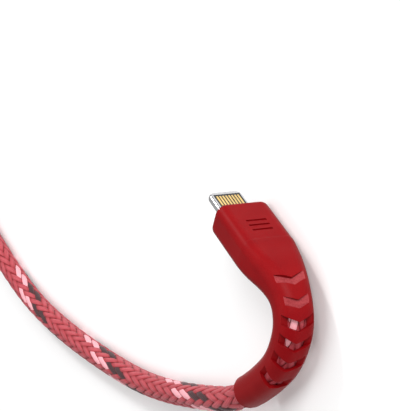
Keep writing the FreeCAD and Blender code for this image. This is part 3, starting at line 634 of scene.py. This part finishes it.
@dataclass
class CordRoute:
    """The cord's route: out of the bent relief, across the table, the coil, the host plug."""

    relief: list[Point] = field(
        default_factory=lambda: [
            (8.9, 0.0, 5.2),
            (10.6, 0.0, 5.2),
            (13.46, -0.4, 5.2),
            (15.85, -1.46, 5.2),
            (17.72, -3.28, 5.2),
            (18.88, -5.64, 5.2),
            (19.29, -9.54, 5.2),
            (18.53, -13.82, 5.2),
            (16.0, -19.5, 5.2),
            (12.94, -24.4, 5.2),
            (8.6, -30.6, 5.2),
        ]
    )
    run: list[Point] = field(
        default_factory=lambda: [
            (3.5, -35.3, 4.9),
            (-5.3, -42.7, 4.2),
            (-16.6, -51.7, 3.1),
            (-29.6, -60.4, 2.4),
            (-46.0, -68.5, 2.4),
            (-64.0, -76.4, 2.4),
            (-83.0, -82.9, 2.4),
            (-102.0, -85.6, 2.4),
            (-118.0, -86.5, 2.5),
            (-132.0, -86.3, 4.6),
            (-144.1, -86.0, 6.9),
            (-154.5, -86.0, 7.25),
        ]
    )
    tail: list[Point] = field(
        default_factory=lambda: [
            (-204.0, -38.5, 3.75),
            (-204.0, -30.4, 4.0),
            (-203.39, -25.7, 4.0),
            (-202.5, -19.0, 4.0),
            (-201.2, -9.0, 4.0),
        ]
    )
    centre: tuple[float, float] = (-172.0, -54.0)
    outer_turn: float = 32.0
    inner_turn: float = 19.1
    turns: float = 5.25
    upper: float = 8.8
    lower: float = 4.0
    drop_turns: float = 0.5
    settle: float = 1.5
    points_per_turn: int = 16
    resolution: int = 24

    def coil(self) -> list[Point]:
        """Control points of the coil: in along the upper layer, out along the lower one."""
        half_step = math.pi / self.points_per_turn
        points = []
        for number in range(round(self.turns * self.points_per_turn) + 1):
            done = (number - 0.5) / self.points_per_turn
            inward = 1 - abs(2 * done / self.turns - 1)
            radius = self.outer_turn + (self.inner_turn - self.outer_turn) * inward
            share = min(1.0, max(0.0, (done - self.turns / 2) / self.drop_turns + 0.5))
            share = share * share * (3 - 2 * share)
            angle = 2 * math.pi * done
            reach = radius / math.cos(half_step)
            x = self.centre[0] - reach * math.sin(angle)
            y = self.centre[1] - reach * math.cos(angle)
            far = 0.5 - (y - self.centre[1]) / (2 * self.outer_turn)
            z = self.upper + (self.lower - self.upper) * share - self.settle * far
            points.append((x, y, z))
        return points

    def points(self) -> list[Point]:
        """Every control point of the cord, in metres."""
        whole = [*self.relief, *self.run, *self.coil(), *self.tail]
        return [tuple(part * MM for part in point) for point in whole]

    def centreline(self) -> np.ndarray:
        """The cord's smooth line, read from its spline.

        Returns:
            Points along the line, close together.
        """
        points = self.points()
        curve = bpy.data.curves.new("cord_line", "CURVE")
        curve.dimensions = "3D"
        spline = curve.splines.new("NURBS")
        spline.points.add(len(points) - 1)
        for spot, point in zip(spline.points, points):
            spot.co = (*point, 1.0)
        spline.order_u = 3
        spline.use_endpoint_u = True
        spline.resolution_u = self.resolution
        holder = bpy.data.objects.new("cord_line", curve)
        bpy.context.scene.collection.objects.link(holder)
        bpy.context.view_layer.update()
        line = bpy.data.meshes.new_from_object(holder)
        place = np.array([vertex.co for vertex in line.vertices])
        bpy.data.objects.remove(holder)
        bpy.data.meshes.remove(line)
        return place


@dataclass
class BraidedCord:
    """The whole braided cord, with its weave as real relief."""

    weave: Weave
    route: CordRoute = field(default_factory=CordRoute)
    diameter: float = 4.8 * MM
    relief_depth: float = 0.36 * MM
    fine_step: float = 0.2 * MM
    coarse_step: float = 0.4 * MM
    fine_until: float = 175.0 * MM
    fine_round: int = 120
    length: float = 0.0
    line: np.ndarray = field(default_factory=lambda: np.zeros((0, 3)))

    def _stations(self, total: float) -> tuple[np.ndarray, int]:
        """Lengths of the rings along the cord.

        Args:
            total: The cord's length.

        Returns:
            The lengths, and how many of them have the fine number of points round.
        """
        fine = np.arange(0.0, self.fine_until, self.fine_step)
        coarse = np.arange(self.fine_until, total, self.coarse_step)
        return np.append(np.concatenate([fine, coarse]), total), len(fine)

    @staticmethod
    def _frames(line: np.ndarray) -> tuple[np.ndarray, np.ndarray, np.ndarray]:
        """Directions along the cord that turn as little as they can.

        Args:
            line: Points along the cord.

        Returns:
            Its direction and two directions across, at each point.
        """
        along = np.gradient(line, axis=0)
        along /= np.linalg.norm(along, axis=1)[:, None]
        across = np.empty_like(along)
        across[0] = (0.0, 1.0, 0.0)
        for number in range(1, len(line)):
            carried = across[number - 1]
            carried = carried - along[number] * (carried @ along[number])
            across[number] = carried / np.linalg.norm(carried)
        return along, across, np.cross(along, across)

    def build(self) -> bpy.types.Object:
        self.line = line = self.route.centreline()
        gaps = np.linalg.norm(np.diff(line, axis=0), axis=1)
        done = np.concatenate([[0.0], np.cumsum(gaps)])
        self.length = float(done[-1])
        stations, fine_count = self._stations(self.length)
        centre = np.stack([np.interp(stations, done, line[:, axis]) for axis in range(3)], axis=1)
        _, across, above = self._frames(centre)
        rings, maps = [], []
        wound = self.weave.lays(stations)
        for number in range(len(stations)):
            count = self.fine_round if number < fine_count else self.fine_round // 2
            share = np.arange(count + 1) / count
            turns = share + self.weave.turn
            lays = np.full(count + 1, wound[number])
            high = np.maximum(
                *self.weave.heights(
                    self.weave.yarns * (turns + lays), self.weave.yarns * (turns - lays)
                )
            )
            radius = self.diameter / 2 + self.relief_depth * (high - 1)
            angle = 2 * math.pi * share
            way = np.outer(np.cos(angle), across[number]) + np.outer(np.sin(angle), above[number])
            rings.append((centre[number] + way * radius[:, None])[:-1])
            maps.append(np.stack([turns, lays], axis=1))
        mesh = self._skin(rings, maps)
        cord = bpy.data.objects.new("braided_cord", mesh)
        bpy.context.scene.collection.objects.link(cord)
        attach(cord, BODY)
        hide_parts("relief_cord", "cord_run", "cord_coil", "cord_tail", "host_relief_cord")
        return cord

    def _skin(self, rings: list[np.ndarray], maps: list[np.ndarray]) -> bpy.types.Mesh:
        """Joins the rings into one closed tube with the braid's own map.

        Args:
            rings: Points of each ring.
            maps: Turns and lays of each ring's points, with the first repeated at the end.

        Returns:
            The tube's mesh.
        """
        starts = np.cumsum([0] + [len(ring) for ring in rings])
        faces, spots = [], []
        for number, (here, there) in enumerate(zip(rings, rings[1:])):
            low, high = starts[number], starts[number + 1]
            count = len(here)
            step = np.arange(count)
            after = (step + 1) % count
            if len(there) == count:
                quads = np.stack([low + step, low + after, high + after, high + step], axis=1)
                faces.extend(quads.tolist())
                low_map, high_map = maps[number], maps[number + 1]
                corners = np.stack(
                    [low_map[step], low_map[step + 1], high_map[step + 1], high_map[step]], axis=1
                )
                spots.append(corners.reshape(-1, 2))
                continue
            low_map, high_map = maps[number], maps[number + 1]
            for pair in range(count // 2):
                first = 2 * pair
                last = (first + 2) % count
                beyond = (pair + 1) % len(there)
                faces.append([low + first, low + first + 1, high + pair])
                faces.append([low + first + 1, low + last, high + beyond, high + pair])
                spots.append(np.array([low_map[first], low_map[first + 1], high_map[pair]]))
                ends = (low_map[first + 2], high_map[pair + 1])
                spots.append(np.array([low_map[first + 1], *ends, high_map[pair]]))
        first_count, last_count = len(rings[0]), len(rings[-1])
        faces.append(list(range(first_count))[::-1])
        spots.append(maps[0][:-1][::-1])
        faces.append(list(range(starts[-2], starts[-2] + last_count)))
        spots.append(maps[-1][:-1])
        mesh = bpy.data.meshes.new("braided_cord")
        mesh.from_pydata(np.concatenate(rings).tolist(), [], faces)
        layer = mesh.uv_layers.new(name="braid")
        layer.data.foreach_set("uv", np.concatenate(spots).astype(np.float32).ravel())
        mesh.polygons.foreach_set("use_smooth", [True] * len(mesh.polygons))
        return mesh

    def dress(self, cord: bpy.types.Object) -> None:
        """Gives the cord its braided finish."""
        cord.data.materials.append(BraidedYarn("braided_yarn", self.weave).build())


# --- tie -----------------------------------------------------------------------------------


@dataclass
class CableTie:
    """Hook-and-loop strap, one closed band round the coil."""

    name: str = "coil_strap"
    thickness: float = 0.95 * MM
    edge: float = 0.3 * MM
    clearance: float = 0.03 * MM
    sides: int = 72
    edge_steps: int = 4
    bulge: float = 3.2
    nudge: float = 0.01

    def build(self) -> bpy.types.Object:
        """Builds the strap round the place that the CAD tie holds."""
        low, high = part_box("cable_tie")
        inset = self.thickness / 2 + self.clearance
        middle = (low + high) / 2
        half_y = (high.y - low.y) / 2 - inset
        half_z = (high.z - low.z) / 2 - inset
        half_x = (high.x - low.x) / 2
        profile = self._profile(half_x)
        rings = []
        for number in range(self.sides):
            angle = 2 * math.pi * number / self.sides
            rings.append(self._ring(angle, middle, half_y, half_z, profile))
        count = len(profile)
        faces = []
        for number in range(self.sides):
            following = (number + 1) % self.sides
            for corner in range(count):
                beside = (corner + 1) % count
                faces.append(
                    (
                        number * count + corner,
                        number * count + beside,
                        following * count + beside,
                        following * count + corner,
                    )
                )
        mesh = bpy.data.meshes.new(self.name)
        mesh.from_pydata([tuple(spot) for ring in rings for spot in ring], [], faces)
        mesh.polygons.foreach_set("use_smooth", [True] * len(mesh.polygons))
        mesh.materials.append(HookAndLoop("strap_fabric").build())
        strap = bpy.data.objects.new(self.name, mesh)
        bpy.context.scene.collection.objects.link(strap)
        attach(strap, BODY)
        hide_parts("cable_tie")
        return strap

    def _profile(self, half_width: float) -> list[tuple[float, float]]:
        """The strap's section with rounded edges, as places across and out."""
        half = self.thickness / 2
        flat = half_width - self.edge
        corners = [(flat, half), (-flat, half), (-flat, -half), (flat, -half)]
        spots = []
        for number, (across, out) in enumerate(corners):
            start = number * math.pi / 2
            for step in range(self.edge_steps + 1):
                angle = start + step * math.pi / (2 * self.edge_steps)
                spots.append(
                    (
                        across + self.edge * math.cos(angle),
                        out - math.copysign(self.edge, out) + self.edge * math.sin(angle),
                    )
                )
        return spots

    def _ring(
        self,
        angle: float,
        middle: Vector,
        half_y: float,
        half_z: float,
        profile: list[tuple[float, float]],
    ) -> list[Vector]:
        """One section of the strap.

        Args:
            angle: Where it is round the bundle.
            middle: The bundle's middle.
            half_y: Half the strap's reach along Y.
            half_z: Half the strap's reach along Z.
            profile: Places across and out round the section.

        Returns:
            The section's corners.
        """

        def spot(turn: float) -> Vector:
            share_y = abs(math.cos(turn)) ** (2 / self.bulge) * math.copysign(1, math.cos(turn))
            share_z = abs(math.sin(turn)) ** (2 / self.bulge) * math.copysign(1, math.sin(turn))
            return Vector((0, share_y * half_y, share_z * half_z))

        here = spot(angle)
        along = (spot(angle + self.nudge) - spot(angle - self.nudge)).normalized()
        out = along.cross(Vector((1, 0, 0))).normalized()
        if out.dot(here) < 0:
            out = -out
        return [middle + here + Vector((across, 0, 0)) + out * rise for across, rise in profile]


# --- plugs ---------------------------------------------------------------------------------


@dataclass
class Dresser:
    """Gives CAD nodes their finishes."""

    finishes: dict[str, bpy.types.Material] = field(default_factory=dict)

    def put(self, finish: object, *nodes: str) -> None:
        """Puts one finish on several CAD nodes.

        Args:
            finish: The finish, with a name and a build method.
            *nodes: The nodes' names.
        """
        if finish.name not in self.finishes:
            self.finishes[finish.name] = finish.build()
        for node in nodes:
            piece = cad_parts[node]
            piece.data.materials.clear()
            piece.data.materials.append(self.finishes[finish.name])
            LOG.info("%s wears %s", node, finish.name)


RED_RUBBER = SatinRubber("red_rubber", (0.225, 0.0035, 0.005), (0.188, 0.002, 0.004))
POCKET_RUBBER = SatinRubber("pocket_rubber", (0.34, 0.05, 0.055), (0.22, 0.02, 0.025), 0.7, 0.0003)
STEEL = BrushedMetal("plated_steel", (0.66, 0.66, 0.67))
GOLD = BrushedMetal("gold_plate", (0.93, 0.66, 0.26), 0.2)
BLACK = HardPlastic("black_plastic", (0.012, 0.012, 0.013))
MOULD = HardPlastic("mould_plastic", (0.52, 0.50, 0.46), 0.45)
JACKET = SatinRubber("inner_jacket", (0.11, 0.11, 0.11), (0.08, 0.08, 0.08), 0.5)
BOARD = SolderMask("board_lacquer", (0.008, 0.07, 0.03), (0.02, 0.13, 0.06))
CHIP = HardPlastic("chip_resin", (0.018, 0.018, 0.02), 0.5)
CERAMIC = HardPlastic("ceramic", (0.42, 0.30, 0.19), 0.4)


@dataclass
class PhonePlug:
    """The small plug with its bent relief."""

    dresser: Dresser
    line: np.ndarray
    pockets: tuple[tuple[float, float], ...] = (
        (5.1 * MM, math.radians(6.0)),
        (8.0 * MM, math.radians(8.0)),
    )
    floor_level: float = 2.65 * MM
    tolerance: float = 0.15 * MM
    reach: float = 4.0 * MM
    facing: float = 0.99

    def dress(self) -> None:
        """Puts its finishes on."""
        put = self.dresser.put
        put(RED_RUBBER, "plug_boot")
        self.dress_pockets()
        put(STEEL, "tab_frame", "shield_can_outer", "shield_can_inner", "crimp_ferrule")
        put(GOLD, "contact_pads_outer", "contact_pads_inner")
        put(BLACK, "tab_insulator")
        put(BOARD, "plug_board")
        put(CHIP, "authentication_chip")
        put(CERAMIC, "board_capacitors")
        put(MOULD, "inner_mould")
        put(JACKET, "inner_jacket_end")

    def dress_pockets(self) -> None:
        """Gives the floors of the blind chevrons their rougher, paler rubber."""
        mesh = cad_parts["plug_boot"].data
        mesh.materials.append(POCKET_RUBBER.build())
        corners = np.array([vertex.co for vertex in mesh.vertices])
        gaps = np.linalg.norm(np.diff(self.line, axis=0), axis=1)
        travel = np.concatenate(([0.0], np.cumsum(gaps)))
        for along, lean in self.pockets:
            near = int(np.searchsorted(travel, along))
            tangent = self.line[near + 1] - self.line[near]
            outward = np.cross((0.0, 0.0, 1.0), tangent / np.linalg.norm(tangent))
            outward = outward * math.cos(lean) + np.array((0.0, 0.0, math.sin(lean)))
            floor = self.line[near] + outward * self.floor_level
            level = np.abs((corners - floor) @ outward) < self.tolerance
            close = np.linalg.norm(corners - floor, axis=1) < self.reach
            for face in mesh.polygons:
                level_face = float(np.array(face.normal) @ outward) > self.facing
                if level_face and all(level[corner] and close[corner] for corner in face.vertices):
                    face.material_index = 1


@dataclass
class HostPlug:
    """The flat plug at the cord's other end."""

    dresser: Dresser

    def dress(self) -> None:
        """Puts its finishes on."""
        put = self.dresser.put
        put(RED_RUBBER, "host_boot")
        put(STEEL, "host_shell", "host_ferrule")
        put(GOLD, "host_contacts")
        put(BLACK, "host_tongue")
        put(BOARD, "host_board")
        put(CERAMIC, "host_resistors")
        put(MOULD, "host_inner_mould")
        put(JACKET, "host_jacket_end")


@dataclass
class Wires:
    """The four insulated wires in each plug."""

    dresser: Dresser
    colours: dict[str, Colour] = field(
        default_factory=lambda: {
            "power_wire": (0.55, 0.01, 0.01),
            "ground_wire": (0.015, 0.015, 0.015),
            "data_wire_plus": (0.02, 0.30, 0.05),
            "data_wire_minus": (0.75, 0.75, 0.73),
        }
    )

    def dress(self) -> None:
        """Puts a sleeve colour on each wire."""
        for wire, colour in self.colours.items():
            finish = HardPlastic(f"{wire}_sleeve", colour, 0.35)
            self.dresser.put(finish, wire, f"host_{wire}")


def main() -> None:
    """Builds the cable and its studio in order, and reports each piece."""
    studio = Studio()
    studio.build_camera()
    weave = Weave()
    cord = BraidedCord(weave)
    tube = cord.build()
    cord.dress(tube)
    LOG.info("%s is %.3f m long", tube.name, cord.length)
    strap = CableTie().build()
    LOG.info("%s is built", strap.name)
    dresser = Dresser()
    for plug in (PhonePlug(dresser, cord.line), HostPlug(dresser), Wires(dresser)):
        plug.dress()
    studio.build_floor()
    studio.build_lights()


if __name__ == "__main__":
    logging.basicConfig(level=logging.INFO, format="%(name)s: %(message)s")
    main()
